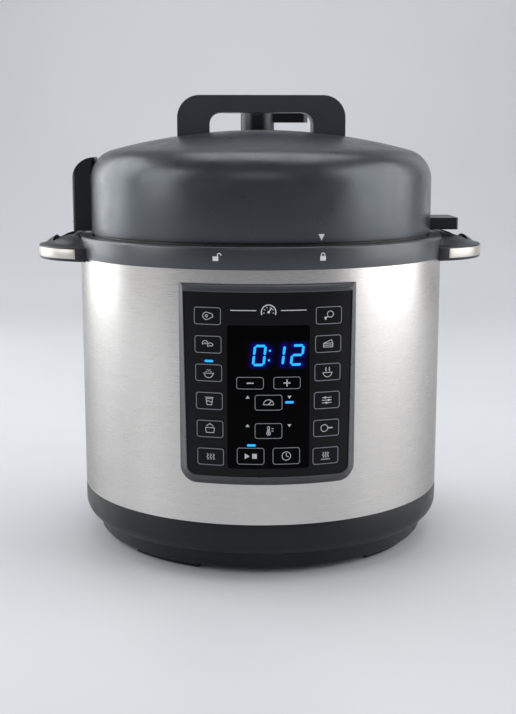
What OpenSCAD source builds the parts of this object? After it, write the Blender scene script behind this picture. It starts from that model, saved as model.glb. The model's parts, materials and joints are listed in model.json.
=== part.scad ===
// Electric pressure cooker: a round heated housing with a curved key panel, a lift-out pot, and a
// turn-to-lock lid with a float valve and a steam release knob.
// Millimetres. Z is up, the key panel faces -Y, the origin is on the floor under the body's axis.

/* [Body] */
// Radius of the steel wrap
steel_r = 131; // [130.5:0.5:132]
// Thickness of the steel wrap's sheet
steel_t = 0.6; // [0.4:0.1:0.8]
// Floor to the lower edge of the steel wrap
base_h = 38; // [37:0.5:40]
// Height of the steel wrap
steel_h = 167; // [165:0.5:170]
// Height of the collar above the steel wrap
collar_h = 14.7; // [14:0.1:16]
// Floor to the underside of the base shell
foot_h = 4.5; // [4:0.1:5]
// Angle that one foot covers
foot_deg = 28; // [20:1:40]

/* [Handles] */
// Radius of the side handles' round outline
grip_r = 50.5; // [49:0.5:52]
// Distance from the body's axis to the outline's centre
grip_x = 111; // [110:0.5:112]
// Length of the slot that parks the lid, along the body's rim
slot_l = 43; // [40:1:46]

/* [Panel] */
// Half of the panel's width at its top
panel_half = 57; // [55:0.5:58]
// Height of the panel
panel_h = 131; // [129:0.5:133]
// How far the panel's face stands off the steel at the top
stand_top = 2.2; // [2:0.1:3]
// How far the panel's face stands off the steel at the bottom
stand_low = 4.4; // [3.5:0.1:5]
// Run of the bezel's chamfer for each millimetre that it stands off
bezel_run = 1.2; // [1:0.05:1.3]
// Distance between two key rows
key_pitch = 18.3; // [18:0.1:18.6]
// Travel of a key
key_travel = 0.4; // [0.2:0.1:0.4]

/* [Pot] */
// Inside radius of the cooking pot
pot_r = 110; // [108:0.5:110]
// Wall of the cooking pot
pot_t = 1.2; // [1:0.1:1.3]
// Height of the pot's underside above the floor
pot_z = 70; // [69:0.5:71]

/* [Lid] */
// Radius of the lid's wall
lid_r = 123.2; // [123:0.1:124]
// Height of the lid's upright wall
lid_wall_h = 37; // [34:1:40]
// Radius of the lid's rounded shoulder
shoulder_r = 22; // [18:1:24]
// Height of the handle's top above the collar
handle_top = 98; // [96:0.5:102]

/* [Hidden] */
$fa = 3;
$fs = 0.6;
big = 400;

steel_in = steel_r - steel_t;
steel_top = base_h + steel_h;
collar_r = steel_r + 1.2;
collar_top = steel_top + collar_h;
well_r = 122.6;
well_floor = steel_top - 1.4;
base_screw_r = 104;
handle_screw_y = 34;
handle_screw_z = steel_top + 4.5;
lid_screw_x = 47;

panel_top = steel_top - 8.8;
panel_low = panel_top - panel_h;
bezel_lip = 0.5;
bezel_corner = 11;
key_x_top = 38.7;
key_x_low = 37.2;
key_z_top = panel_top - 20.3;
window_half = 26.4;
window_low = panel_low + 12;
window_top = panel_low + 105;
skin_t = 1.35;
key_gap = 0.3;
board_y = -117.6;
board_t = 1.6;
switch_h = 2.5;
plunger_h = 0.5;
stem_end_y = board_y - switch_h - plunger_h - key_travel - 0.05;

// Every key: [name, x, z, width, height]
side_key = [17.2, 11.3];
function column_x(row) = key_x_top + (key_x_low - key_x_top) * row / 5;
function row_z(row) = key_z_top - key_pitch * row;
SIDE_KEYS = [for (side = [-1, 1]) for (row = [0:5])
    [side * column_x(row), row_z(row), side_key[0], side_key[1]]];
MINUS = [-11.8, panel_low + 68.1, 17.6, 8.1];
PLUS = [11.8, panel_low + 68.1, 17.6, 8.1];
PRESSURE = [0, panel_low + 55.5, 17.8, 10.3];
TEMPERATURE = [0, panel_low + 37, 17.8, 10.3];
START = [-11.5, panel_low + 20.4, 17.8, 11.2];
TIMER = [11.5, panel_low + 20.4, 17.8, 11.2];
CENTRE_KEYS = [MINUS, PLUS, PRESSURE, TEMPERATURE, START, TIMER];

liner_r = 113.5;
liner_top = 215;
ring_lug_r = 117;
lid_lug_r = 117.4;
lug_count = 8;

lid_low = collar_top + 1.5;
lid_t = 1.8;
shoulder_deg = 75;
shoulder_x = lid_r - shoulder_r;
shoulder_z = lid_low + lid_wall_h;
dome_x = shoulder_x + shoulder_r * cos(shoulder_deg);
dome_z = shoulder_z + shoulder_r * sin(shoulder_deg);
dome_r = dome_x / cos(shoulder_deg);
plate_z = 229.4;
plate_t = 1.2;
valve_y = 68;
float_x = -38;
float_y = 58;
function dome_at(x) = dome_z + sqrt(dome_r * dome_r - x * x) - dome_r * sin(shoulder_deg);

// ---- Shared shapes ----

// Points on an arc
function arc(cx, cy, r, from, to, steps = 8) =
    [for (i = [0:steps]) let (a = from + (to - from) * i / steps) [cx + r * cos(a), cy + r * sin(a)]];

// A ring or disc between two heights
module ring(r_in, r_out, low, high) {
    translate([0, 0, low]) difference() {
        cylinder(r = r_out, h = high - low);
        translate([0, 0, -1]) cylinder(r = r_in, h = high - low + 2);
    }
}

// A box given by its corners
module block(low, high) {
    translate(low) cube(high - low);
}

// A flat rectangle with round corners, centred
module plate2d(w, h, r) {
    square([w - 2 * r, h], center = true);
    square([w, h - 2 * r], center = true);
    for (sx = [-1, 1], sy = [-1, 1]) translate([sx * (w / 2 - r), sy * (h / 2 - r)]) circle(r);
}

// Stands a flat shape drawn in x and z upright and runs it from y_back out to y_front
module upright(y_front, y_back) {
    translate([0, y_back, 0]) rotate([90, 0, 0]) linear_extrude(y_back - y_front) children();
}

// Runs a flat shape drawn in x and z through the body's front wall
module through_front() {
    upright(-steel_r - 12, -100) children();
}

// ---- Base ----

// The shell curves in to a crease, below which a narrow skirt goes down to its underside
module base_shell() {
    curve = [118.8, 26.3];
    curve_deg = 74;
    crease = [121.6, 14.3];
    heel = [120, foot_h + 1.5];
    wall = 2.8;
    ledge_z = 7;
    lap = 5;
    lip_r = 127.9;
    outline = concat(
        [[steel_r, base_h]],
        arc(curve[0], curve[1], steel_r - curve[0], 0, -curve_deg),
        [crease, heel, [heel[0] - 1.2, foot_h], [98, foot_h], [98, ledge_z], [heel[0] - wall, ledge_z],
         [crease[0] - wall, crease[1] + wall]],
        arc(curve[0], curve[1], steel_r - curve[0] - wall, -curve_deg, 0),
        [[steel_r - wall, base_h], [lip_r, base_h + lap], [steel_in - 0.1, base_h + lap],
         [steel_in - 0.1, base_h]]);
    color([0.09, 0.09, 0.1]) difference() {
        rotate_extrude() polygon(outline);
        base_screw_places() cylinder(r = 1.7, h = 12);
        inlet_cut();
    }
}

module base_screw_places() {
    for (a = [0:90:270]) rotate(a) translate([base_screw_r, 0, 0]) children();
}

module base_plate() {
    color([0.16, 0.16, 0.17]) difference() {
        ring(8, 109, 7, 8.4);
        base_screw_places() cylinder(r = 1.7, h = 12);
        for (a = [0:20:340], row = [0, 1])
            rotate(a + 10 * row) translate([52 + 22 * row, -1.5, 6]) cube([16, 3, 4]);
    }
}

// Four low pads under the shell's rim, set round a little from the diagonals
module feet() {
    top = foot_h - 0.05;
    outline = [[100, 0], [113.4, 0], [114, 0.6], [114, top], [100, top]];
    color([0.07, 0.07, 0.08]) for (a = [52:90:322])
        rotate(a - foot_deg / 2) rotate_extrude(angle = foot_deg) polygon(outline);
}

module base_screws() {
    color([0.62, 0.62, 0.64]) base_screw_places() {
        translate([0, 0, foot_h - 1.6]) difference() {
            cylinder(r = 3.1, h = 1.6);
            for (a = [0, 90]) rotate(a) translate([-1.8, -0.4, -0.1]) cube([3.6, 0.8, 1]);
        }
        translate([0, 0, foot_h]) cylinder(r = 1.5, h = 9);
    }
}

// ---- Wrap, collar and handles ----

module steel_wrap() {
    color([0.72, 0.71, 0.7]) difference() {
        ring(steel_in, steel_r, base_h, steel_top);
        through_front() translate([0, (panel_low + panel_top) / 2])
            square([105, panel_h - 17], center = true);
        inlet_cut();
        collector_drain();
    }
}

// Places something at the screws that hold one handle, or both, pointing outwards
module handle_screw_places(sides = [-1, 1]) {
    for (side = sides, y = [-handle_screw_y, handle_screw_y])
        translate([side * grip_x, y, handle_screw_z]) rotate([0, side * 90, 0]) children();
}

module collar() {
    edge = 2;
    outline = concat(
        [[collar_r, steel_top]],
        arc(collar_r - edge, collar_top - edge, edge, 0, 90, 6),
        arc(well_r + 1.4, collar_top - 1.4, 1.4, 90, 180, 4),
        [[well_r, well_floor], [115.8, well_floor], [115.8, well_floor - 2.4], [125.5, well_floor - 2.4],
         [127.9, steel_top - 6], [steel_in - 0.1, steel_top - 6], [steel_in - 0.1, steel_top]]);
    color([0.16, 0.165, 0.175]) difference() {
        rotate_extrude() polygon(outline);
        handle_screw_places() {
            cylinder(r = 3.3, h = 9.5);
            cylinder(r = 1.7, h = 30);
        }
        collector_drain();
    }
}

// Water runs out of the collar's well, through the back wall, into the collector
module collector_drain() {
    translate([0, 118.5, well_floor - 4]) cylinder(r = 2.6, h = 6);
    translate([0, 118.5, well_floor - 6]) rotate([-90, 0, 0]) cylinder(r = 2.6, h = 16);
}

// The right handle for a side of 1; for -1 its mirror image, the left handle
module handle(side) {
    low = steel_top - 2.5;
    waist = steel_top + 7.4;
    crest = collar_top + 0.3;
    corner = 1.4;
    outline = concat(
        [[0, low]],
        arc(grip_r - corner, low + corner, corner, -90, 0, 4),
        arc(grip_r - 1, waist - 1, 1, 0, 90, 4),
        [[grip_r - 3.6, waist + 0.5], [grip_r - 5.4, waist + 1.5], [grip_r - 8, waist + 3.6],
         [grip_r - 11.5, waist + 5.7], [grip_r - 15, crest - 0.6], [grip_r - 17, crest], [0, crest]]);
    color([0.13, 0.13, 0.14]) mirror([side < 0 ? 1 : 0, 0, 0]) difference() {
        translate([grip_x, 0, 0]) rotate_extrude() polygon(outline);
        translate([0, 0, low - 1]) cylinder(r = collar_r + 0.05, h = 60);
        block([-big, -big, low - 1], [grip_x - 12, big, crest + 1]);
        slot(low - 1, crest + 1);
        translate([grip_x, 0, 0]) trim_band(0.1);
        handle_screw_places([1]) cylinder(r = 1.55, h = 26);
    }
}

// The through slot in a handle that takes the lid's tongue
module slot(low, high) {
    translate([0, 0, low]) linear_extrude(high - low)
        translate([142.2, 0]) plate2d(14.6, slot_l, 3);
}

// The pale band let into a handle's rim, about the handle's own centre
module trim_band(gap) {
    half = 67;
    low = steel_top - 0.5;
    high = steel_top + 6.2;
    rotate(-half) rotate_extrude(angle = 2 * half)
        translate([grip_r - 1 - gap, low - gap]) square([1.4 + gap, high - low + 2 * gap]);
}

module handle_trim(side) {
    color([0.8, 0.79, 0.76]) mirror([side < 0 ? 1 : 0, 0, 0])
        translate([grip_x, 0, 0]) trim_band(0);
}

module handle_screws() {
    color([0.62, 0.62, 0.64]) handle_screw_places() {
        translate([0, 0, 7]) cylinder(r = 3, h = 2.5);
        translate([0, 0, 9.5]) cylinder(r = 1.5, h = 16);
    }
}

// ---- Key panel ----

// The panel's face leans out a little towards its bottom, as a cone about the body's axis
function face_r(z) = steel_r + stand_low + (stand_top - stand_low) * (z - panel_low) / panel_h;

// The solid inside the face, shifted outwards by `out`
module face_cone(out) {
    low = panel_low - 10;
    high = panel_top + 10;
    translate([0, 0, low]) cylinder(r1 = face_r(low) + out, r2 = face_r(high) + out, h = high - low);
}

// A flat shape drawn in x and z, cut as a curved plate between two depths behind the face
module skin(back, front) {
    intersection() {
        through_front() children();
        difference() {
            face_cone(front);
            face_cone(back);
        }
    }
}

// The overlay's outline: nearly straight sides, round lower corners
module overlay_shape(grow) {
    top = panel_top - 5.1 + grow;
    low = panel_low + 6.7 - grow;
    half_top = panel_half - 2.8 + grow;
    half_low = panel_half - 4.6 + grow;
    corner = 6 + grow;
    polygon(concat(
        [[-half_top, top], [half_top, top]],
        arc(half_low - corner, low + corner, corner, 0, -90, 8),
        arc(corner - half_low, low + corner, corner, -90, -180, 8)));
}

// Where the centres of the bezel's lower corners lie round the body
corner_deg = asin(panel_half / steel_r) - asin((bezel_corner + 0.5) / steel_r);

// Turns and shifts to a lower corner: x along the rim, z outwards
module at_corner(side) {
    mirror([side < 0 ? 1 : 0, 0, 0]) rotate(corner_deg)
        translate([0, -steel_r, panel_low + bezel_corner]) rotate([90, 0, 0]) children();
}

// The raised bezel as a whole: cones above and below, a flat chamfer at each side, a cone at each corner
module bezel_body() {
    crest_low = stand_low + bezel_lip;
    crest_top = stand_top + bezel_lip;
    inner = steel_r + 0.05;
    corner = bezel_corner + 0.05;  // larger, so that it crosses the rim and the chamfer instead of grazing them
    difference() {
        intersection() {
            rotate_extrude() polygon([
                [inner, panel_low], [steel_r + crest_low, panel_low + bezel_run * crest_low],
                [steel_r + crest_top, panel_top - 1.2], [steel_r + 1.2, panel_top], [inner, panel_top]]);
            panel_side_of_chamfer(0);
            panel_side_of_chamfer(1);
        }
        for (side = [-1, 1]) at_corner(side) difference() {
            translate([0, -16, -2]) cube([18, 16, 11]);
            translate([0, 0, -2.5]) cylinder(
                r1 = corner + 2.5 * bezel_run, r2 = corner - 9 * bezel_run, h = 11.5);
        }
        difference() {
            ring(steel_r + stand_top, steel_r + 9, panel_top - 3.1, panel_top - 2.6);
            ring(steel_r, steel_r + stand_top + bezel_lip - 0.4, panel_top - 4, panel_top - 2);
        }
    }
}

// Everything on the panel's side of one chamfer's plane
module panel_side_of_chamfer(flip) {
    reach = 60;
    mirror([flip, 0, 0]) rotate(corner_deg) translate([0, -steel_r, panel_low - 5])
        linear_extrude(panel_h + 10) polygon([
            [bezel_corner + bezel_run * reach, reach], [bezel_corner - bezel_run * 8, -8],
            [-5 * reach, -8], [-5 * reach, reach]]);
}

// The tub behind the bezel that reaches in through the steel wrap
module tub_shape(inset) {
    translate([0, (panel_low + panel_top) / 2]) plate2d(104 - 2 * inset, panel_h - 18 - 2 * inset, 2);
}

module panel_frame() {
    color([0.2, 0.2, 0.21]) difference() {
        union() {
            bezel_body();
            intersection() {
                upright(-steel_r - 12, -116) tub_shape(0);
                cylinder(r = steel_r + 0.1, h = big);
            }
        }
        difference() {
            through_front() overlay_shape(0.1);
            face_cone(-skin_t - 0.05);
        }
        through_front() tub_shape(2);
    }
}

// One key's outline, larger by `grow` all round
module key_shape(key, grow) {
    translate([key[0], key[1]]) plate2d(key[2] + 2 * grow, key[3] + 2 * grow, 1.8 + grow);
}

module window_shape(grow) {
    translate([0, (window_low + window_top) / 2])
        plate2d(2 * (window_half + grow), window_top - window_low + 2 * grow, 2 + grow);
}

module panel_overlay() {
    color([0.05, 0.05, 0.06]) difference() {
        skin(-skin_t, 0) overlay_shape(0);
        through_front() {
            window_shape(0.05);
            for (key = SIDE_KEYS) key_shape(key, key_gap);
        }
    }
}

module display_window() {
    color([0.01, 0.01, 0.02]) difference() {
        skin(-skin_t, 0.12) window_shape(0);
        through_front() for (key = CENTRE_KEYS) key_shape(key, key_gap);
    }
}

// A key: its cap, the flange that keeps it behind the skin, and its stem
module panel_key(key) {
    cap_y = -sqrt(pow(face_r(key[1]) - 2, 2) - pow(abs(key[0]) + 2.2, 2));
    color([0.04, 0.04, 0.05]) {
        skin(-2.6, 0.25) key_shape(key, 0);
        skin(-2.6, -skin_t - 0.35) key_shape(key, 1.2);
        translate([key[0], stem_end_y, key[1]]) rotate([90, 0, 0])
            cylinder(r = 2.2, h = stem_end_y - cap_y);
    }
}

module display_module() {
    low = panel_low + 74.5;
    color([0.12, 0.1, 0.16]) difference() {
        block([-25, -130, low], [25, board_y, low + 21]);
        for (x = [-23, -11.5, 1, 12.5]) block([x, -131, low + 2.5], [x + 10.5, -129.2, low + 18.5]);
    }
}

module control_board() {
    middle = (panel_low + panel_top) / 2;
    color([0.05, 0.3, 0.16]) block([-48, board_y, middle - 54.2], [48, board_y + board_t, middle + 54.2]);
    color([0.1, 0.1, 0.1]) for (key = concat(SIDE_KEYS, CENTRE_KEYS))
        translate([key[0], board_y, key[1]]) rotate([90, 0, 0]) {
            translate([-3, -3, 0]) cube([6, 6, switch_h]);
            cylinder(r = 1.7, h = switch_h + plunger_h);
        }
}

module indicator_leds() {
    lamp = [4.6, 1.4, 1.8];
    places = concat(
        [for (key = SIDE_KEYS) [key[0], key[1] + 7.7]],
        [for (side = [-1, 1], key = [PRESSURE, TEMPERATURE]) [side * 13.4, key[1]]],
        [for (key = [START, TIMER]) [key[0], key[1] + 7.3]]);
    color([0.2, 0.6, 0.9]) for (p = places)
        translate([p[0] - lamp[0] / 2, board_y - lamp[1], p[1] - lamp[2] / 2]) cube(lamp);
}

// ---- Heater, pot supports and electrics ----

module outer_pot() {
    floor_z = pot_z - 18;
    color([0.66, 0.67, 0.69]) difference() {
        union() {
            ring(liner_r - 1, liner_r, floor_z, liner_top);
            ring(6.1, liner_r - 0.5, floor_z, floor_z + 1.2);
            ring(liner_r - 0.5, 119, well_floor, well_floor + 1.2);
            intersection() {
                ring(liner_r - 1, ring_lug_r, liner_top - 1.6, liner_top);
                for (i = [0:lug_count - 1]) rotate(i * 360 / lug_count + 11.25)
                    rotate_extrude(angle = 22.5) square([ring_lug_r + 1, big]);
            }
        }
        for (a = [60:120:300]) rotate(a) translate([30, 0, floor_z - 1]) cylinder(r = 4, h = 4);
    }
}

module heating_plate() {
    color([0.75, 0.76, 0.77]) {
        ring(14, 92, pot_z - 8, pot_z);
        rotate_extrude() translate([66, pot_z - 8]) circle(4.5);
        for (a = [0:120:240]) rotate(a) translate([46, 0, pot_z - 16.8]) cylinder(r = 5, h = 9);
    }
    color([0.8, 0.7, 0.5]) for (a = [75, 105]) rotate(a) translate([66, 0, pot_z - 15])
        cylinder(r = 2, h = 8);
}

module heat_shield() {
    low = pot_z - 28;
    color([0.6, 0.6, 0.62]) {
        ring(14, 104, low, low + 0.8);
        ring(103.2, 104, low, low + 6);
        for (a = [30:120:270]) rotate(a) translate([84, 0, low]) cylinder(r = 3, h = 10);
    }
}

module temperature_sensor() {
    color([0.78, 0.78, 0.8]) {
        translate([0, 0, pot_z - 5]) cylinder(r = 12, h = 4.95);
        translate([0, 0, pot_z - 20.5]) cylinder(r = 5.6, h = 16);
    }
}

// A coil of half turns, each tipped so that it climbs to the next. Every second one has slightly thicker wire,
// so that the ends which meet are nested circles.
module sensor_spring() {
    wire = 0.7;
    coil_r = 8;
    half_turns = 8;
    low = pot_z - 16.8 + wire;
    rise = (11.6 - 2 * wire) / half_turns;
    tip = atan(rise / 2 / coil_r);
    color([0.6, 0.6, 0.62]) for (i = [0:half_turns - 1])
        translate([0, 0, low + rise * (i + 0.5)]) rotate([0, i % 2 == 0 ? tip : -tip, 0])
            rotate(180 * i) rotate_extrude(angle = 180) translate([coil_r, 0]) circle(wire + 0.04 * (i % 2));
}

module pressure_switch() {
    high = pot_z - 18;
    color([0.5, 0.12, 0.1]) block([34, -38, high - 8], [56, -28, high]);
    color([0.8, 0.7, 0.4]) for (x = [38, 45, 52]) block([x - 1.5, -44, high - 5], [x + 1.5, -38, high - 4.2]);
}

module power_board() {
    low = 14;
    color([0.45, 0.35, 0.15]) block([-62, -50, low], [38, 20, low + 1.6]);
    color([0.15, 0.25, 0.5]) block([-55, -42, low + 1.6], [-25, -14, low + 20]);
    color([0.1, 0.1, 0.1]) block([-15, -42, low + 1.6], [5, -26, low + 17]);
    color([0.12, 0.12, 0.13]) for (x = [-10, 4, 18]) translate([x, 4, low + 1.6]) cylinder(r = 5.5, h = 15);
    color([0.8, 0.8, 0.8]) for (x = [-58, 34], y = [-46, 16]) translate([x, y, 8.4]) cylinder(r = 3, h = low - 8.4);
}

inlet_z = 36;
inlet_half = [13.4, 11.4];

module inlet_cut() {
    block([-inlet_half[0] - 0.1, 90, inlet_z - inlet_half[1] - 0.1],
          [inlet_half[0] + 0.1, 150, inlet_z + inlet_half[1] + 0.1]);
}

// The socket recess: a rectangle with two cut corners
module inlet_recess() {
    upright(116, 140) translate([0, inlet_z])
        polygon([[-12, -8], [12, -8], [12, 3], [7.5, 8], [-7.5, 8], [-12, 3]]);
}

module power_inlet() {
    color([0.06, 0.06, 0.07]) difference() {
        union() {
            block([-inlet_half[0], 106, inlet_z - inlet_half[1]], [inlet_half[0], 133, inlet_z + inlet_half[1]]);
            upright(131.3, 133.2) translate([0, inlet_z]) plate2d(33, 28, 3);
        }
        inlet_recess();
        inlet_pins();
    }
}

module inlet_pins() {
    color([0.8, 0.75, 0.55]) for (p = [[-7, -2], [0, 2], [7, -2]])
        block([p[0] - 1, 98, inlet_z + p[1] - 2], [p[0] + 1, 128, inlet_z + p[1] + 2]);
}

// ---- Condensation collector ----

cup_half = 27;
cup_low = 150;
cup_top = 191;
cup_front = 132.8;
cup_back = 152;

module collector_bracket() {
    color([0.1, 0.1, 0.11]) difference() {
        union() {
            block([-31, 120, cup_top + 1.2], [31, 150, cup_top + 4.2]);
            for (side = [-1, 1]) {
                block([side > 0 ? 29.2 : -31, 120, cup_top - 12], [side > 0 ? 31 : -29.2, 150, cup_top + 2]);
                block([side > 0 ? 27.6 : -29.4, 120, cup_top - 12],
                      [side > 0 ? 29.4 : -27.6, 150, cup_top - 10.4]);
            }
        }
        cylinder(r = steel_r + 0.05, h = big);
        translate([0, 140, cup_top]) cylinder(r = 3, h = 6);
    }
}

module condensation_collector() {
    wall = 1.6;
    color([0.75, 0.78, 0.8]) difference() {
        union() {
            translate([0, (cup_front + cup_back) / 2, cup_low])
                linear_extrude(cup_top - cup_low) plate2d(2 * cup_half, cup_back - cup_front, 3);
            block([-28.8, cup_front + 3, cup_top - 10], [28.8, 148, cup_top - 8.4]);
        }
        translate([0, (cup_front + cup_back) / 2, cup_low + wall]) linear_extrude(cup_top)
            plate2d(2 * (cup_half - wall), cup_back - cup_front - 2 * wall, 1.6);
    }
}

// ---- Pot and seal ----

module cooking_pot() {
    corner = 6;
    rim_z = liner_top + 2.4;
    outer = pot_r + pot_t;
    outline = concat(
        [[0, pot_z]],
        arc(outer - corner, pot_z + corner, corner, -90, 0),
        [[outer, rim_z], [115.2, rim_z], [115.2, rim_z - 1], [116.2, rim_z - 1], [116.2, rim_z + pot_t],
         [pot_r, rim_z + pot_t]],
        arc(pot_r - corner + 1, pot_z + corner + 0.6, corner - 1, 0, -90),
        [[0, pot_z + 1.6]]);
    color([0.62, 0.62, 0.64]) rotate_extrude() polygon(outline);
}

seal_low = 218.9;
seal_top = 229;

// A ring with two soft lips, one on the pot's rim and one on the lid's plate
module sealing_gasket() {
    outline = [
        [109, seal_low + 0.6], [110.5, seal_low], [118.4, seal_low + 1.2], [118.9, seal_low + 3],
        [118.9, seal_top - 2.2], [117.8, seal_top - 0.4], [110.5, seal_top], [109, seal_top - 0.8],
        [109, seal_top - 1.8], [115.2, seal_top - 2.8], [115.2, seal_low + 3], [109, seal_low + 1.8]];
    color([0.86, 0.86, 0.84]) rotate_extrude() polygon(outline);
}

module gasket_ring() {
    color([0.7, 0.7, 0.72]) ring(112.6, 114.9, seal_low + 3.4, seal_top - 3.2);
}

// ---- Lid ----

// The outline of the lid's outer surface moved inwards by `inset`, from its lower edge to the axis
function lid_profile(inset) = concat(
    arc(shoulder_x, shoulder_z, shoulder_r - inset, 0, shoulder_deg, 10),
    [for (i = [1:10]) let (x = dome_x * (1 - i / 10)) [x, dome_at(x) - inset]]);

module lid_cover() {
    inner = lid_profile(lid_t);
    outline = concat(
        [[lid_r, lid_low]], lid_profile(0), [for (i = [len(inner) - 1:-1:0]) inner[i]],
        [[lid_r - lid_t, lid_low]]);
    color([0.16, 0.165, 0.175]) difference() {
        rotate_extrude() polygon(outline);
        translate([0, valve_y, plate_z]) cylinder(r = 9, h = 80);
        translate([float_x, float_y, plate_z]) cylinder(r = 4.5, h = 80);
        lid_screw_places() cylinder(r = 1.8, h = 80);
    }
}

module lid_screw_places() {
    for (x = [-lid_screw_x, lid_screw_x]) translate([x, 0, plate_z]) children();
}

module lid_handle() {
    top = collar_top + handle_top;
    half = 60;
    width = 28;
    window_top_z = top - 12;
    color([0.1, 0.1, 0.11]) difference() {
        upright(-width / 2, width / 2) difference() {
            union() {
                translate([0, top - 25]) plate2d(2 * half, 50, 16);
                translate([-half, top - 50]) square([2 * half, 25]);
            }
            translate([0, window_top_z - 30]) plate2d(2 * half - 46, 60, 8);
        }
        rotate_extrude() polygon(concat([[0, 0], [lid_r, 0]], lid_profile(-0.05)));
        lid_screw_places() cylinder(r = 1.55, h = top - plate_z - 12);
    }
}

module lid_screws() {
    color([0.62, 0.62, 0.64]) for (x = [-lid_screw_x, lid_screw_x]) {
        low = dome_at(lid_screw_x) - lid_t - 3;
        translate([x, 0, low]) cylinder(r = 3, h = 2.2);
        translate([x, 0, low]) cylinder(r = 1.5, h = 18);
    }
}

// The tall rib on the lid's left side, with its small stop
module lid_fin() {
    edge_x = -135.5;
    deep = 16;
    width = 28;
    crown_z = lid_low + lid_wall_h;
    color([0.09, 0.09, 0.1]) {
        difference() {
            union() {
                translate([edge_x + deep / 2, 0, lid_low + 0.8]) linear_extrude(lid_wall_h)
                    plate2d(deep, width, 2.5);
                intersection() {
                    translate([edge_x + deep, width / 2, crown_z]) rotate([90, 0, 0]) cylinder(r = deep, h = width);
                    translate([edge_x + deep / 2, 0, crown_z]) linear_extrude(40) plate2d(deep, width, 2.5);
                }
            }
            rotate_extrude() polygon(concat([[0, 0], [lid_r + 0.05, 0]], lid_profile(-0.05)));
        }
        translate([edge_x + 0.4, 0, lid_low + 7]) rotate([90, 0, 0]) cylinder(r = 1.3, h = 12, center = true);
    }
}

// The flat tongue on the lid's right side that stands the lid in a handle's slot
module lid_tongue() {
    color([0.09, 0.09, 0.1]) difference() {
        translate([128, 0, lid_low + 1.5]) linear_extrude(8.4) plate2d(28, 40, 2);
        cylinder(r = lid_r + 0.05, h = big);
    }
}

module lid_liner() {
    skirt_r = 121.1;
    skirt_low = collar_top - 11.7;
    color([0.72, 0.72, 0.74]) difference() {
        union() {
            translate([0, 0, plate_z]) cylinder(r = skirt_r, h = plate_t);
            ring(skirt_r - 1.4, skirt_r, skirt_low, plate_z + 0.5);
            intersection() {
                ring(lid_lug_r, skirt_r, skirt_low, skirt_low + 2.4);
                for (i = [0:lug_count - 1]) rotate(i * 360 / lug_count + 11.25)
                    rotate_extrude(angle = 22.5) square([skirt_r + 1, big]);
            }
            for (a = [30:120:270]) rotate(a) translate([84, 0, plate_z])
                cylinder(r = 4, h = dome_at(84) - lid_t - plate_z - 1);
        }
        translate([0, valve_y, plate_z - 1]) cylinder(r = 5.1, h = 4);
        translate([float_x, float_y, plate_z - 1]) cylinder(r = 3.26, h = 4);
    }
}

module steam_pipe() {
    color([0.7, 0.7, 0.72]) translate([0, valve_y, 0]) {
        ring(2.4, 5, plate_z - 8, 298);
        ring(2.4, 8, plate_z - 2.2, plate_z);
        ring(2.4, 8, plate_z + plate_t, plate_z + plate_t + 4);
    }
}

module anti_block_cap() {
    color([0.66, 0.66, 0.68]) translate([0, valve_y, 0]) difference() {
        translate([0, 0, plate_z - 13.5]) cylinder(r = 11, h = 11);
        translate([0, 0, plate_z - 12.5]) cylinder(r = 10, h = 12);
        for (a = [0:30:330]) rotate(a) translate([6, -1.1, plate_z - 11]) cube([8, 2.2, 6]);
    }
    color([0.66, 0.66, 0.68]) translate([0, valve_y, 0]) difference() {
        ring(5.05, 10.5, plate_z - 3.7, plate_z - 2.5);
        for (a = [45:90:315]) rotate(a) translate([7.6, 0, plate_z - 5]) cylinder(r = 1.2, h = 4);
    }
}

module float_valve() {
    color([0.75, 0.3, 0.25]) translate([float_x, float_y, 0]) {
        translate([0, 0, plate_z - 10]) cylinder(r = 3.2, h = dome_at(69) - plate_z + 9.2);
        translate([0, 0, plate_z - 12]) cylinder(r = 4.6, h = 2.5);
    }
}

module float_seal() {
    color([0.85, 0.85, 0.83]) translate([float_x, float_y, 0]) ring(3.2, 6, plate_z - 9.5, plate_z - 7);
}

// The knob over the steam pipe: a round hub with a lever
module steam_release_knob() {
    low = 292;
    top = 308;
    color([0.08, 0.08, 0.09]) translate([0, valve_y, 0]) difference() {
        union() {
            translate([0, 0, low]) cylinder(r = 13, h = top - low);
            hull() {
                translate([0, 0, top - 8]) cylinder(r = 7, h = 8, $fn = 32);
                translate([34, 0, top - 8]) cylinder(r = 5, h = 8, $fn = 32);
            }
        }
        translate([0, 0, low - 1]) cylinder(r = 5.08, h = 8);
        translate([0, 0, low - 1]) difference() {
            cylinder(r = 11, h = 8);
            cylinder(r = 7, h = 8);
        }
    }
}

base_shell();
base_plate();
feet();
base_screws();
steel_wrap();
collar();
handle(-1);  // handle_left
handle(1);  // handle_right
handle_trim(-1);  // handle_trim_left
handle_trim(1);  // handle_trim_right
handle_screws();
panel_frame();
panel_overlay();
display_window();
display_module();
control_board();
indicator_leds();
power_board();
outer_pot();
heating_plate();
heat_shield();
pressure_switch();
power_inlet();
inlet_pins();
collector_bracket();
sensor_spring();
temperature_sensor();
condensation_collector();
cooking_pot();
sealing_gasket();
gasket_ring();
lid_cover();
lid_handle();
lid_fin();
lid_tongue();
lid_liner();
steam_pipe();
anti_block_cap();
lid_screws();
float_valve();
float_seal();
steam_release_knob();
for (row = [0:5]) {
    panel_key(SIDE_KEYS[row]);
    panel_key(SIDE_KEYS[6 + row]);
}
panel_key(MINUS);  // key_minus
panel_key(PLUS);  // key_plus
panel_key(PRESSURE);  // key_pressure
panel_key(TEMPERATURE);  // key_temperature
panel_key(START);  // key_start
panel_key(TIMER);  // key_timer
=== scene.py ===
"""Looks for the electric pressure cooker, all placed from the CAD frame.

Materials, rounded edges, printed marks, the lit display, the sensor's wound spring, light and the camera.
"""

import json
import math

import bpy
import numpy as np
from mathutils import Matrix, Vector, geometry


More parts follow.
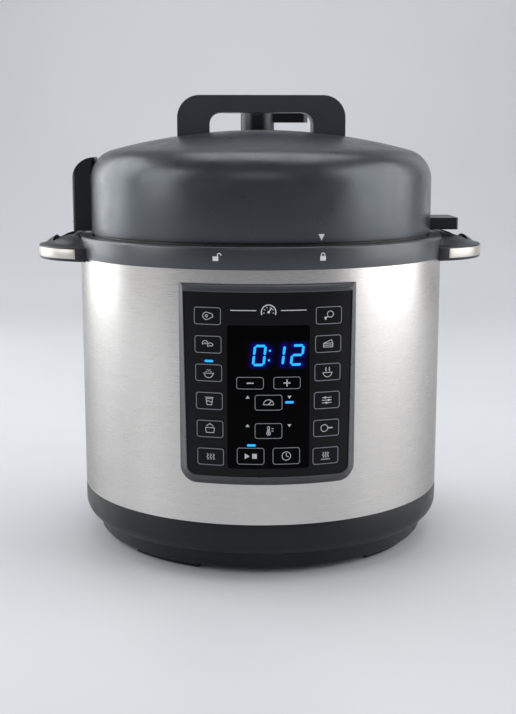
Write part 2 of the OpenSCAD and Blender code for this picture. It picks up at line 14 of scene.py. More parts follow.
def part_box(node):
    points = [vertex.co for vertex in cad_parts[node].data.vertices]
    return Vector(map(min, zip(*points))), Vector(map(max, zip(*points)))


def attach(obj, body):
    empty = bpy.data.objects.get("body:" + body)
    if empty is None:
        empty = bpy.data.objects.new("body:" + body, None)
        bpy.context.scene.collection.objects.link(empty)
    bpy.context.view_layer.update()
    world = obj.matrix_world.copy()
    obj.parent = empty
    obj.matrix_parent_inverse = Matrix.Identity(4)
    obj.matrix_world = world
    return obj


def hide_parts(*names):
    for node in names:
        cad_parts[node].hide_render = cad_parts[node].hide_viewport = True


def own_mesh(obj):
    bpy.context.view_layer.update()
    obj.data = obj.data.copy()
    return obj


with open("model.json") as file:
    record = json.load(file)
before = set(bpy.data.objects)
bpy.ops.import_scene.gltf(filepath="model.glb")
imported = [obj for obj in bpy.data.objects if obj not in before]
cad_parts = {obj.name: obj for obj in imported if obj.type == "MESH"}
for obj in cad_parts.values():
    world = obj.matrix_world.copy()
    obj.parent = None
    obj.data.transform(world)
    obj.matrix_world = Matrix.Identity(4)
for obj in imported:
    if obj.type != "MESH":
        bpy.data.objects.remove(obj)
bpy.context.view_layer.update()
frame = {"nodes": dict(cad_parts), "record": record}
nodes = frame["nodes"]
MM = 0.001

# Sizes that the marks are set out by, in millimetres, read from the frame
STEEL_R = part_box("steel_wrap")[1].x / MM
PANEL_LOW, PANEL_TOP = (p.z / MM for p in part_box("panel_frame"))
LID_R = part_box("lid_cover")[1].x / MM
COLLAR_R = STEEL_R + 1.2
# How far the panel's face stands off the steel, low and high, and the keys and the glass off the face
STAND_LOW, STAND_TOP = 4.4, 2.2
KEY_PROUD, WINDOW_PROUD = 0.25, 0.12
# How far a mark's ink reaches above and below the surface it lies on; lit shapes are thinner
INK_HIGH, INK_LOW = 0.05, -0.1
LIT_HIGH, LIT_LOW = 0.05, -0.05
# The longest step across the panel that still follows its curve
CURVE_STEP = 1.6


# ---- Materials ----

def srgb(r, g, b):
    """A colour given as 0..255 display values, as Blender's linear colour."""
    def linear(v):
        v /= 255
        return v / 12.92 if v <= 0.04045 else ((v + 0.055) / 1.055) ** 2.4
    return (linear(r), linear(g), linear(b), 1)


class Nodes:
    """A shorthand for building one material's node tree."""

    def __init__(self, name):
        self.mat = bpy.data.materials.new(name)
        self.mat.use_nodes = True
        self.tree = self.mat.node_tree
        self.shader = self.tree.nodes["Principled BSDF"]
        self.position = self.add("ShaderNodeTexCoord").outputs["Object"]

    def add(self, kind, inputs=None, **settings):
        node = self.tree.nodes.new(kind)
        for key, value in settings.items():
            setattr(node, key, value)
        for key, value in (inputs or {}).items():
            self.put(node.inputs[key], value)
        return node

    def put(self, socket, value):
        if isinstance(value, bpy.types.NodeSocket):
            self.tree.links.new(value, socket)
        else:
            socket.default_value = value

    def set(self, **values):
        for key, value in values.items():
            self.put(self.shader.inputs[key.replace("_", " ")], value)

    def math(self, operation, *values):
        node = self.add("ShaderNodeMath", operation=operation)
        for i, v in enumerate(values):
            self.put(node.inputs[i], v)
        return node.outputs[0]

    def stretch(self, vector, scale):
        return self.add("ShaderNodeMapping", {"Vector": vector, "Scale": scale}).outputs[0]

    def noise(self, scale, detail=3.0, rough=0.55, vector=None, seed=0.0):
        """Noise at `scale` per metre; `seed` only shifts it, so that two noises don't line up."""
        moved = self.add("ShaderNodeMapping", {
            "Vector": vector or self.position, "Location": (seed, 0.37 * seed, -0.61 * seed)}).outputs[0]
        return self.add("ShaderNodeTexNoise", {
            "Vector": moved, "Scale": scale, "Detail": detail, "Roughness": rough}).outputs[0]

    def spread(self, value, low, high, start=0.3, end=0.7):
        """The value's start..end range, stretched to low..high."""
        return self.add("ShaderNodeMapRange", {
            "Value": value, "From Min": start, "From Max": end, "To Min": low, "To Max": high}).outputs[0]

    def blend(self, share, a, b):
        node = self.add("ShaderNodeMix", data_type="RGBA", clamp_factor=True)
        self.put(node.inputs[0], share)
        self.put(node.inputs[6], a)
        self.put(node.inputs[7], b)
        return node.outputs[2]

    def bump(self, height, distance):
        return self.add("ShaderNodeBump", {
            "Height": height, "Distance": distance, "Strength": 1.0}).outputs[0]

    def around(self, turns, out, up):
        """Coordinates that follow the round body: angle, radius and height, each stretched."""
        xyz = self.add("ShaderNodeSeparateXYZ", {"Vector": self.position}).outputs
        angle = self.math("ARCTAN2", xyz[1], xyz[0])
        radius = self.math("SQRT", self.math("ADD", self.math("MULTIPLY", xyz[0], xyz[0]),
                                             self.math("MULTIPLY", xyz[1], xyz[1])))
        return self.add("ShaderNodeCombineXYZ", {
            "X": self.math("MULTIPLY", angle, turns), "Y": self.math("MULTIPLY", radius, out),
            "Z": self.math("MULTIPLY", xyz[2], up)}).outputs[0]


def shade(colour, factor):
    return tuple(min(c * factor, 1) for c in colour[:3]) + (1,)


def plastic(name, colour, rough=0.4, grain=0.35, depth=0.02, vary=0.12, spec=0.5, dust=0.0,
            glint=(1, 1, 1, 1)):
    """Moulded plastic: fine spark-erosion grain of `grain` mm, faint flow and handling marks, `dust` low
    down, and reflections in the `glint` colour."""
    n = Nodes(name)
    broad = n.noise(28, 4, 0.6)
    fine = n.noise(1 / (grain * MM), 2, 0.5, seed=3.1)
    tint = n.blend(n.spread(broad, 0, 1), shade(colour, 1 - vary), shade(colour, 1 + vary))
    tint = n.blend(n.spread(fine, 0, 0.35), tint, shade(colour, 1.35))
    if dust:
        xyz = n.add("ShaderNodeSeparateXYZ", {"Vector": n.position}).outputs
        low_down = n.spread(xyz[2], dust, 0, 0.0, 0.03)
        tint = n.blend(n.math("MULTIPLY", low_down, n.spread(broad, 0.3, 1)), tint, srgb(120, 117, 112))
    smear = n.noise(60, 5, 0.65, seed=7.7)
    n.set(Base_Color=tint, Roughness=n.spread(smear, rough - 0.06, rough + 0.07),
          Normal=n.bump(fine, depth * MM))
    n.shader.inputs["Specular IOR Level"].default_value = spec
    n.shader.inputs["Specular Tint"].default_value = glint
    return n.mat


def gloss(name, colour, rough=0.06, smear=0.09, ripple=0.004, spec=0.5):
    """A glossy printed or clear-coated skin: dark, smooth, with faint wipe marks and orange peel."""
    n = Nodes(name)
    wipe = n.noise(40, 6, 0.7, n.stretch(n.position, (1, 1, 2.2)))
    peel = n.noise(350, 2, 0.4, seed=1.3)
    n.set(Base_Color=n.blend(n.spread(peel, 0, 1), shade(colour, 0.85), shade(colour, 1.15)),
          Roughness=n.spread(wipe, rough, rough + smear), Normal=n.bump(peel, ripple * MM))
    n.shader.inputs["Specular IOR Level"].default_value = spec
    return n.mat


def metal(name, colour, rough=0.3, grain=0.4, depth=0.01, vary=0.06):
    """Plain metal: cast, pressed or plated, with a fine grain and faint cloudy marks."""
    n = Nodes(name)
    cloud = n.noise(35, 4, 0.6)
    fine = n.noise(1 / (grain * MM), 3, 0.6, seed=2.2)
    n.set(Base_Color=n.blend(n.spread(cloud, 0, 1), shade(colour, 1 - vary), shade(colour, 1 + vary)),
          Roughness=n.spread(n.noise(90, 4, 0.6, seed=5.5), rough - 0.07, rough + 0.08),
          Normal=n.bump(fine, depth * MM))
    n.shader.inputs["Metallic"].default_value = 1.0
    return n.mat


def brushed(name, colour, rough=0.3, turns=9.0, lines=5200.0, depth=0.006, aniso=0.7, edge=1.0):
    """Steel brushed round the body: long streaks at one height, wider bands and faint smudges. `edge` is the
    share of the light thrown back at a glancing angle."""
    n = Nodes(name)
    streak = n.noise(1, 3, 0.65, n.around(turns, 0, lines))
    band = n.noise(1, 2, 0.5, n.around(turns * 0.25, 0, lines * 0.06), seed=4.0)
    smudge = n.noise(14, 3, 0.5, seed=9.0)
    tint = n.blend(n.spread(streak, 0, 1, 0.2, 0.8), shade(colour, 0.92), shade(colour, 1.06))
    tint = n.blend(n.spread(band, 0, 0.3), tint, shade(colour, 0.9))
    marks = n.math("ADD", n.spread(streak, -0.04, 0.04, 0.2, 0.8),
                   n.spread(smudge, rough - 0.015, rough + 0.02))
    n.set(Base_Color=tint, Roughness=marks, Normal=n.bump(streak, depth * MM))
    n.shader.inputs["Metallic"].default_value = 1.0
    n.shader.inputs["Anisotropic"].default_value = aniso
    n.shader.inputs["Specular Tint"].default_value = (edge, edge, edge, 1)
    round_axis = n.add("ShaderNodeTangent", direction_type="RADIAL", axis="Z").outputs[0]
    n.put(n.shader.inputs["Tangent"], round_axis)
    return n.mat


def rubber(name, colour, rough=0.72):
    """Rubber or silicone: matt, with a pale bloom in patches."""
    n = Nodes(name)
    fine = n.noise(1400, 3, 0.6)
    bloom = n.noise(45, 4, 0.6, seed=2.0)
    n.set(Base_Color=n.blend(n.spread(bloom, 0, 0.5), colour, shade(colour, 1.9)),
          Roughness=n.spread(bloom, rough - 0.06, rough + 0.1), Normal=n.bump(fine, 0.03 * MM))
    n.shader.inputs["Specular IOR Level"].default_value = 0.3
    return n.mat


def clear(name, colour, rough=0.05):
    """A clear moulded cup: thin, faintly grey, with fine scratches."""
    n = Nodes(name)
    scratch = n.noise(1, 3, 0.6, n.stretch(n.position, (900, 900, 90)))
    n.set(Base_Color=n.blend(n.spread(scratch, 0, 1), colour, shade(colour, 0.93)),
          Roughness=n.spread(scratch, rough, rough + 0.1), Normal=n.bump(scratch, 0.004 * MM))
    n.shader.inputs["Transmission Weight"].default_value = 0.92
    n.shader.inputs["IOR"].default_value = 1.49
    return n.mat


def board(name):
    """Solder mask over copper: green ground, paler tracks in courses, and square pads about 2.5 mm apart."""
    n = Nodes(name)
    pad_pitch, track_pitch = 2.5 * MM, 6.25 * MM
    cell = n.add("ShaderNodeTexVoronoi", {"Vector": n.position, "Scale": 1 / pad_pitch},
                 feature="F1", distance="CHEBYCHEV")
    track = n.add("ShaderNodeTexBrick", {"Vector": n.position, "Scale": 1 / track_pitch, "Mortar Size": 0.03})
    lines = n.spread(track.outputs["Fac"], 0, 1, 0.2, 0.8)
    pads = n.spread(cell.outputs["Distance"], 1, 0, 0.16, 0.2)
    tint = n.blend(lines, srgb(22, 70, 48), srgb(40, 105, 70))
    tint = n.blend(pads, tint, srgb(186, 190, 186))
    n.set(Base_Color=tint, Roughness=n.spread(n.noise(200), 0.3, 0.45), Normal=n.bump(lines, 0.03 * MM))
    return n.mat


def lit(name, colour, strength):
    """A lit segment: even colour behind a faint diffuser grain."""
    n = Nodes(name)
    grain = n.noise(2500, 2, 0.5)
    n.set(Base_Color=srgb(4, 6, 12), Roughness=n.spread(grain, 0.12, 0.2), Normal=n.bump(grain, 0.002 * MM),
          Emission_Color=n.blend(n.spread(grain, 0, 0.25), colour, shade(colour, 0.8)))
    n.shader.inputs["Emission Strength"].default_value = strength
    return n.mat


def halo(name, colour, strength, ground, rough, spec):
    """The dark skin round the lit segments: its glow is the mesh's own `glow` value, 1 beside a segment."""
    n = Nodes(name)
    glow = n.add("ShaderNodeAttribute", attribute_name="glow", attribute_type="GEOMETRY").outputs["Fac"]
    peel = n.noise(350, 2, 0.4, seed=1.3)
    n.set(Base_Color=ground, Roughness=n.spread(n.noise(40, 6, 0.7), rough, rough + 0.06),
          Normal=n.bump(peel, 0.003 * MM), Emission_Color=n.blend(glow, srgb(0, 0, 0), colour))
    n.shader.inputs["Emission Strength"].default_value = strength
    n.shader.inputs["Specular IOR Level"].default_value = spec
    return n.mat


# Reflections in the satin and black plastics are a little cooler than the light
COOL, COOLER, COOL_BLACK = (0.93, 0.96, 1, 1), (0.86, 0.93, 1, 1), (0.92, 0.95, 1, 1)
# The dark grounds of the panel, shared by the films that glow on it
GLASS_BLACK, PANEL_BLACK, HALO_BLUE = srgb(0, 0, 1), srgb(7, 7, 10), srgb(30, 20, 190)

LOOKS = {
    "base_plastic": plastic("base_plastic", srgb(15, 16, 19), 0.38, 0.4, 0.02, spec=0.35, dust=0.03),
    "collar_satin": plastic("collar_satin", srgb(36, 39, 45), 0.33, 0.3, 0.01, 0.05, 0.95, glint=COOL),
    "lid_satin": plastic("lid_satin", srgb(28, 32, 38), 0.32, 0.3, 0.008, 0.05, 0.98, glint=COOLER),
    "foot_rubber": rubber("foot_rubber", srgb(26, 26, 28)),
    "wrap_steel": brushed("wrap_steel", srgb(206, 203, 200), 0.27, edge=0.55),
    "trim_steel": brushed("trim_steel", srgb(186, 183, 176), 0.34, 9, 3800, 0.004, 0.3),
    "handle_plastic": plastic("handle_plastic", srgb(14, 15, 19), 0.34, 0.4, 0.02, 0.12, 0.45,
                              glint=COOL_BLACK),
    "bezel": gloss("bezel", srgb(46, 48, 53), 0.26, 0.08, 0.002, 1.0),
    "overlay": gloss("overlay", PANEL_BLACK, 0.3, 0.08, 0.003, 0.22),
    "window_gloss": gloss("window_gloss", GLASS_BLACK, 0.08, 0.06, 0.002, 0.05),
    "key_cap": gloss("key_cap", PANEL_BLACK, 0.28, 0.08, 0.003, 0.2),
    "key_window": gloss("key_window", srgb(1, 1, 2), 0.09, 0.06, 0.002, 0.05),
    "print_grey": plastic("print_grey", srgb(196, 200, 206), 0.5, 0.2, 0.004, 0.06),
    "print_line": plastic("print_line", srgb(138, 142, 150), 0.5, 0.2, 0.004, 0.06),
    "print_white": plastic("print_white", srgb(226, 228, 230), 0.5, 0.2, 0.004, 0.06),
    "circuit_board": board("circuit_board"),
    "part_black": plastic("part_black", srgb(30, 30, 32), 0.5, 0.5, 0.04),
    "lamp_body": plastic("lamp_body", srgb(210, 214, 220), 0.3, 0.3, 0.01, 0.05),
    "pot_steel": brushed("pot_steel", srgb(196, 194, 190), 0.24, 14, 2600, 0.004, 0.5),
    "cast_aluminium": metal("cast_aluminium", srgb(178, 178, 180), 0.4, 0.8, 0.05, 0.1),
    "sheet_metal": metal("sheet_metal", srgb(172, 174, 178), 0.33, 0.5, 0.01),
    "silicone": rubber("silicone", srgb(196, 196, 190), 0.5),
    "float_red": plastic("float_red", srgb(186, 34, 30), 0.35, 0.3, 0.01, 0.08),
    "clear_cup": clear("clear_cup", srgb(214, 220, 226)),
    "contact_brass": metal("contact_brass", srgb(200, 170, 100), 0.28, 0.3, 0.01),
    "screw_steel": metal("screw_steel", srgb(188, 188, 190), 0.3, 0.2, 0.01),
    "digit_glow": lit("digit_glow", srgb(30, 172, 246), 1.3),
    "halo_window": halo("halo_window", HALO_BLUE, 0.32, GLASS_BLACK, 0.08, 0.05),
    "halo_side": halo("halo_side", HALO_BLUE, 0.3, PANEL_BLACK, 0.31, 0.22),
}

# Nodes whose look isn't their slot's own
MINE = {"lid_cover": "lid_satin", "lid_fin": "handle_plastic", "lid_handle": "lid_satin"}
for part in ("minus", "plus", "pressure", "temperature", "start", "timer"):
    MINE["key_" + part] = "key_window"

# How wide each node's sharp edges are rounded off, in millimetres
BEVEL = {
    "base_shell": 0.5, "collar": 0.5, "handle_left": 0.9, "handle_right": 0.9, "handle_trim_left": 0.25,
    "handle_trim_right": 0.25, "lid_cover": 0.6, "lid_handle": 1.6, "lid_fin": 1.0, "lid_tongue": 0.8,
    "feet": 0.6, "panel_frame": 0.18, "steam_release_knob": 0.7, "cooking_pot": 0.3,
    "condensation_collector": 0.3, "power_inlet": 0.3, "collector_bracket": 0.3, "float_valve": 0.3,
    "heating_plate": 0.5, "temperature_sensor": 0.4}


def round_edges(node, width):
    weld = node.modifiers.new("weld", "WELD")
    weld.merge_threshold = 0.002 * MM
    bevel = node.modifiers.new("bevel", "BEVEL")
    bevel.width = width * MM
    bevel.segments = 3
    bevel.limit_method = "ANGLE"
    bevel.angle_limit = math.radians(35)
    bevel.use_clamp_overlap = True
    bevel.miter_outer = "MITER_ARC"


for sub in frame["record"]["subparts"]:
    node = nodes[sub["node"]]
    node.data.materials.clear()
    node.data.materials.append(LOOKS[MINE.get(sub["node"], sub["material_slot"])])
    if sub["node"] in BEVEL:
        round_edges(node, BEVEL[sub["node"]])


# ---- Printed marks: thin closed solids that lie on the surface they are printed on ----

def face_r(z):
    """The panel face's radius at a height, in millimetres."""
    return STEEL_R + STAND_LOW + (STAND_TOP - STAND_LOW) * (z - PANEL_LOW) / (PANEL_TOP - PANEL_LOW)


def on_panel(proud):
    """Places x across and z up the panel, on a surface that is `proud` of its face."""
    def place(x, z, depth):
        r = face_r(z) + proud + depth
        return Vector((x, -math.sqrt(r * r - x * x), z)) * MM
    return place


def on_wall(radius, degrees):
    """Places x to the right of a mark's middle along the wall, and z as the height."""
    def place(x, z, depth):
        a = math.radians(degrees) + x / radius
        r = radius + depth
        return Vector((r * math.sin(a), -r * math.cos(a), z)) * MM
    return place


def arc(cx, cz, r, start, end, steps=10):
    return [(cx + r * math.cos(math.radians(start + (end - start) * i / steps)),
             cz + r * math.sin(math.radians(start + (end - start) * i / steps))) for i in range(steps + 1)]


def disc(cx, cz, r, steps=14):
    return [arc(cx, cz, r, 0, 360 - 360 / steps, steps - 1)]


def stroke(points, width=0.45, closed=False):
    """A line of that width through the points, with round joints, as shapes that overlap."""
    shapes, pairs = [], list(zip(points, points[1:] + points[:1] if closed else points[1:]))
    for (ax, az), (bx, bz) in pairs:
        length = math.hypot(bx - ax, bz - az)
        if length < 1e-6:
            continue
        nx, nz = -(bz - az) / length * width / 2, (bx - ax) / length * width / 2
        cuts = max(1, math.ceil(abs(bx - ax) / CURVE_STEP))
        for i in range(cuts):
            ends = (i / cuts, (i + 1) / cuts)
            (px, pz), (qx, qz) = ((ax + (bx - ax) * t, az + (bz - az) * t) for t in ends)
            shapes.append([(px - nx, pz - nz), (qx - nx, qz - nz), (qx + nx, qz + nz), (px + nx, pz + nz)])
    for x, z in points:
        shapes += disc(x, z, width / 2, 8)
    return shapes


def loop(cx, cz, w, h, r):
    """The points of a rounded rectangle."""
    x, z = w / 2 - r, h / 2 - r
    return (arc(cx + x, cz + z, r, 0, 90, 5) + arc(cx - x, cz + z, r, 90, 180, 5)
            + arc(cx - x, cz - z, r, 180, 270, 5) + arc(cx + x, cz - z, r, 270, 360, 5))


def frame_line(cx, cz, w, h, r, width):
    """A rounded rectangle's outline, drawn inside the size given."""
    return stroke(loop(cx, cz, w - width, h - width, r - width / 2), width, closed=True)


def moved(shapes, dx, dz, scale=1.0):
    return [[(x * scale + dx, z * scale + dz) for x, z in shape] for shape in shapes]


def finer(shape):
    """The same outline in steps short enough across to follow the round wall."""
    out = []
    for (ax, az), (bx, bz) in zip(shape, shape[1:] + shape[:1]):
        cuts = max(1, math.ceil(abs(bx - ax) / CURVE_STEP))
        out += [(ax + (bx - ax) * i / cuts, az + (bz - az) * i / cuts) for i in range(cuts)]
    return out


def printed(name, shapes, place, body, look, high=INK_HIGH, low=INK_LOW):
    """One closed thin solid: the union of flat shapes, laid on a surface."""
    points, faces = [], []
    for shape in shapes:
        shape = finer(shape)
        area = sum(ax * bz - bx * az for (ax, az), (bx, bz) in zip(shape, shape[1:] + shape[:1]))
        first = len(points)
        points += [Vector(p) for p in (shape if area > 0 else shape[::-1])]
        faces.append(list(range(first, len(points))))
    flat, _, tris, _, _, origins = geometry.delaunay_2d_cdt(points, [], faces, 0, 1e-4, True)
    kept = [t for t, o in zip(tris, origins) if o]
    used = sorted({i for t in kept for i in t})
    index = {v: i for i, v in enumerate(used)}
    count = len(used)
    verts = [place(*flat[i], high) for i in used] + [place(*flat[i], low) for i in used]
    polys, sides = [], {}
    for t in kept:
        a, b, c = (index[i] for i in t)
        polys += [(a, b, c), (c + count, b + count, a + count)]
        for p, q in ((a, b), (b, c), (c, a)):
            sides[(p, q)] = True
    polys += [(q, p, p + count, q + count) for p, q in sides if (q, p) not in sides]
    return solid(name, verts, polys, body, look)


def solid(name, verts, polys, body, look):
    """A new piece from a closed mesh in metres, which rides on the body."""
    mesh = bpy.data.meshes.new(name)
    mesh.from_pydata([tuple(v) for v in verts], [], polys)
    mesh.materials.append(LOOKS[look])
    obj = bpy.data.objects.new(name, mesh)
    bpy.context.scene.collection.objects.link(obj)
    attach(obj, body)
    return obj


def glow_film(name, x0, x1, z0, z1, reach, segments, proud, body):
    """A thin film on the panel whose `glow` value falls off with the distance from the lit segments."""
    step, fade, high, low = 0.4, 1.5, 0.02, -0.08
    nx, nz = round((x1 - x0) / step), round((z1 - z0) / step)
    place = on_panel(proud)
    grid = [(x0 + (x1 - x0) * i / nx, z0 + (z1 - z0) * j / nz) for j in range(nz + 1) for i in range(nx + 1)]
    xz = np.array(grid)
    near = np.full(len(grid), 1e9)
    for (ax, az), (bx, bz) in segments:
        a, d = np.array((ax, az)), np.array((bx - ax, bz - az))
        t = np.clip(((xz - a) @ d) / max(d @ d, 1e-9), 0, 1)
        near = np.minimum(near, np.linalg.norm(xz - a - t[:, None] * d, axis=1))
    edge = np.minimum.reduce([xz[:, 0] - x0, x1 - xz[:, 0], xz[:, 1] - z0, z1 - xz[:, 1]])
    glow = np.exp(-(near / reach) ** 1.6) * np.clip(edge / fade, 0, 1)
    count, row = len(grid), nx + 1
    verts = [place(x, z, high) for x, z in grid] + [place(x, z, low) for x, z in grid]
    polys = []
    for j in range(nz):
        for i in range(nx):
            a, b, c, d = j * row + i, j * row + i + 1, (j + 1) * row + i + 1, (j + 1) * row + i
            polys += [(a, b, c, d), (d + count, c + count, b + count, a + count)]
    rim = ([j * row for j in range(nz, 0, -1)] + list(range(nx)) + [j * row + nx for j in range(nz)]
           + [nz * row + i for i in range(nx, 0, -1)])
    polys += [(q, p, p + count, q + count) for p, q in zip(rim, rim[1:] + rim[:1])]
    obj = solid(name, verts, polys, body, "halo_window" if proud else "halo_side")
    obj.data.attributes.new("glow", "FLOAT", "POINT").data.foreach_set(
        "value", np.concatenate([glow, np.zeros(count)]).astype(np.float32))
    for poly in obj.data.polygons:
        poly.use_smooth = True
    return obj


# ---- Lit display ----

DIGIT_W, DIGIT_H, DIGIT_BAR, DIGIT_LEAN = 8.3, 13.8, 1.6, 0.115
DIGIT_X, DIGIT_STEP, DIGIT_Z = -22.9, 12.1, PANEL_LOW + 79.1
SEGMENTS = {"0": "abcdef", "1": "bc", "2": "abged"}


def segment_line(which):
    """The middle line of one of a digit's seven segments, before it leans."""
    left, right = DIGIT_BAR / 2, DIGIT_W - DIGIT_BAR / 2
    low, mid, top = DIGIT_BAR / 2, DIGIT_H / 2, DIGIT_H - DIGIT_BAR / 2
    return {"a": ((left, top), (right, top)), "b": ((right, top), (right, mid)),
            "c": ((right, mid), (right, low)), "d": ((left, low), (right, low)),
            "e": ((left, low), (left, mid)), "f": ((left, mid), (left, top)),
            "g": ((left, mid), (right, mid))}[which]


def lean(point, x0):
    """A digit's own point, leaned over and set on the panel."""
    return (x0 + point[0] + point[1] * DIGIT_LEAN, DIGIT_Z + point[1])


def segment_shape(a, b):
    """A segment with mitred ends, a small gap short of its neighbours."""
    (ax, az), (bx, bz) = a, b
    length = math.hypot(bx - ax, bz - az)
    ux, uz = (bx - ax) / length, (bz - az) / length
    half, gap = DIGIT_BAR / 2, 0.22
    near, far = gap + half * 0.8, length - gap - half * 0.8

    def at(along, across):
        return (ax + ux * along - uz * across, az + uz * along + ux * across)

    return [at(gap, 0), at(near, -half), at(far, -half), at(length - gap, 0), at(far, half), at(near, half)]


digit_shapes, glow_lines = [], []
for place_no, digit in ((1, "0"), (2, "1"), (3, "2")):
    x0 = DIGIT_X + DIGIT_STEP * place_no
    for which in SEGMENTS[digit]:
        a, b = segment_line(which)
        digit_shapes.append([lean(p, x0) for p in segment_shape(a, b)])
        glow_lines.append((lean(a, x0), lean(b, x0)))
colon_x = DIGIT_X + 2 * DIGIT_STEP - 1.55
for up in (DIGIT_H / 2 - 3.1, DIGIT_H / 2 + 3.0):
    dot = lean((0, up), colon_x)
    digit_shapes += disc(*dot, 0.72)
    glow_lines.append((dot, (dot[0] + 0.01, dot[1])))
glass = on_panel(WINDOW_PROUD)
printed("display_digits", digit_shapes, glass, "housing", "digit_glow", LIT_HIGH, LIT_LOW)
GLOW_LEFT, GLOW_RIGHT, GLOW_MARGIN = -14.5, 26.2, 2.6
glow_film("display_glow", GLOW_LEFT, GLOW_RIGHT, DIGIT_Z - GLOW_MARGIN, DIGIT_Z + DIGIT_H + GLOW_MARGIN, 1.9,
          glow_lines, WINDOW_PROUD, "housing")

# Lamps that are lit: the middle of each, and how far its surface stands off the panel's face
LAMPS = {"rice": (-37.9, 146.9, 0), "low_pressure": (13.4, 120.7, WINDOW_PROUD),
         "start": (-11, 92.7, WINDOW_PROUD)}
LAMP_HALF, LAMP_BAR, LAMP_GLOW_X, LAMP_GLOW_Z = 2.1, 1.5, 4.2, 1.7
for lamp, (x, z, proud) in LAMPS.items():
    bar = [(x - LAMP_HALF, z), (x + LAMP_HALF, z)]
    printed("lamp_" + lamp, stroke(bar, LAMP_BAR), on_panel(proud), "housing", "digit_glow",
            LIT_HIGH, LIT_LOW)
    glow_film("lamp_glow_" + lamp, x - LAMP_GLOW_X, x + LAMP_GLOW_X, z - LAMP_GLOW_Z, z + LAMP_GLOW_Z, 1.1,
              [tuple(bar)], proud, "housing")

# ---- Key captions, as pictures ----

WAVE = [(0.55 * math.sin(t * 1.25), -2 + t * 0.5) for t in range(9)]


def waves(xs, dz=0.0, scale=1.0):
    """Upright wavy lines, as steam or heat."""
    return [s for x in xs for s in stroke([(x + px * scale, dz + pz * scale) for px, pz in WAVE])]


def bowl(dz=0.0):
    return stroke([(-3.4, dz), *arc(0, dz, 3.0, 180, 360, 12), (3.4, dz)]) + stroke([(-3.4, dz), (3.4, dz)])


PICTURES = {
    "key_left_1": stroke(arc(-0.6, 0, 2.5, 60, 300, 14) + [(1.6, -1.6), (3.6, -0.6), (3.4, 1.3), (1.6, 1.9)],
                         closed=True)
    + stroke(arc(-0.6, 0, 0.8, 0, 324, 9), closed=True),
    "key_left_2": [s for dx, dz in ((-1.9, 0.7), (1.6, -0.8)) for s in moved(
        stroke(arc(0, 0, 1.9, 20, 200, 10) + arc(-0.2, -0.9, 1.0, 150, 30, 5) + [(1.8, 0.5)], closed=True),
        dx, dz)],
    "key_left_3": bowl(-0.3) + [s for dx, dz in ((-1.6, 0.7), (0, 1.1), (1.6, 0.7), (-0.8, 2.0), (0.8, 2.0))
                                for s in stroke([(dx - 0.3, dz), (dx + 0.3, dz + 0.25)])],
    "key_left_4": stroke([(-2.2, 1.6), (-1.6, -2.6), (1.6, -2.6), (2.2, 1.6)], closed=True)
    + stroke([(-2.8, 2.5), (2.8, 2.5)]) + stroke([(-1.9, -0.3), (-0.6, 0.2), (0.6, -0.8), (1.9, -0.3)]),
    "key_left_5": stroke([(-3.0, 0.9), (-2.6, -2.5), (2.6, -2.5), (3.0, 0.9)], closed=True)
    + stroke(arc(0, 0.9, 2.4, 25, 155, 8)) + stroke([(0, 3.3), (0, 3.9)]),
    "key_left_6": waves((-2.0, 0, 2.0)),
    "key_right_1": stroke(arc(1.0, 0.8, 2.1, -150, 190, 14)) + stroke([(-0.6, -0.5), (-2.5, -1.9)], 0.8)
    + disc(-2.6, -1.4, 0.6) + disc(-2.2, -2.4, 0.6),
    "key_right_2": stroke([(-3.2, -2.2), (3.2, -2.2), (3.2, 0.4), (-3.2, 0.4)], closed=True)
    + stroke([(-3.2, 0.4), (2.2, 2.6), (3.2, 0.4)]) + stroke([(-3.0, -0.9), (3.0, -0.9)]),
    "key_right_3": bowl(-0.3) + waves((-1.2, 1.2), 1.9, 0.62),
    "key_right_4": [s for z, x in ((1.8, -1.2), (0, 1.4), (-1.8, -0.2)) for s in
                    stroke([(-3.2, z), (3.2, z)]) + disc(x, z, 0.75)],
    "key_right_5": stroke(arc(-1.3, 0, 2.4, 0, 345, 16), closed=True) + stroke([(1.3, 0), (4.2, 0)], 0.8),
    "key_right_6": stroke([(-3.0, -2.5), (3.0, -2.5)]) + waves((-1.6, 0, 1.6), 0.6, 0.9),
    "key_minus": stroke([(-2.1, 0), (2.1, 0)], 0.8),
    "key_plus": stroke([(-2.1, 0), (2.1, 0)], 0.8) + stroke([(0, -2.1), (0, 2.1)], 0.8),
    "key_pressure": stroke(arc(0, -1.4, 3.4, 0, 180, 16)) + stroke([(-3.4, -1.4), (3.4, -1.4)])
    + stroke([(0, -1.2), (1.7, 0.9)], 0.55),
    "key_temperature": stroke(arc(0, -1.6, 1.3, 120, 420, 12) + arc(0, 2.4, 0.65, 0, 180, 6), closed=True)
    + disc(0, -1.6, 0.6) + stroke([(0, -1.6), (0, 1.2)])
    + stroke([(2.2, 1.6), (3.2, 1.6)]) + stroke([(2.2, 0), (3.2, 0)]),
    "key_start": [[(-4.0, -2.0), (-0.6, 0), (-4.0, 2.0)], [(1.0, -1.7), (4.2, -1.7), (4.2, 1.7), (1.0, 1.7)]],
    "key_timer": stroke(arc(0, 0, 2.9, 0, 345, 20), closed=True) + stroke([(0, 1.9), (0, 0), (1.4, -0.7)]),
}
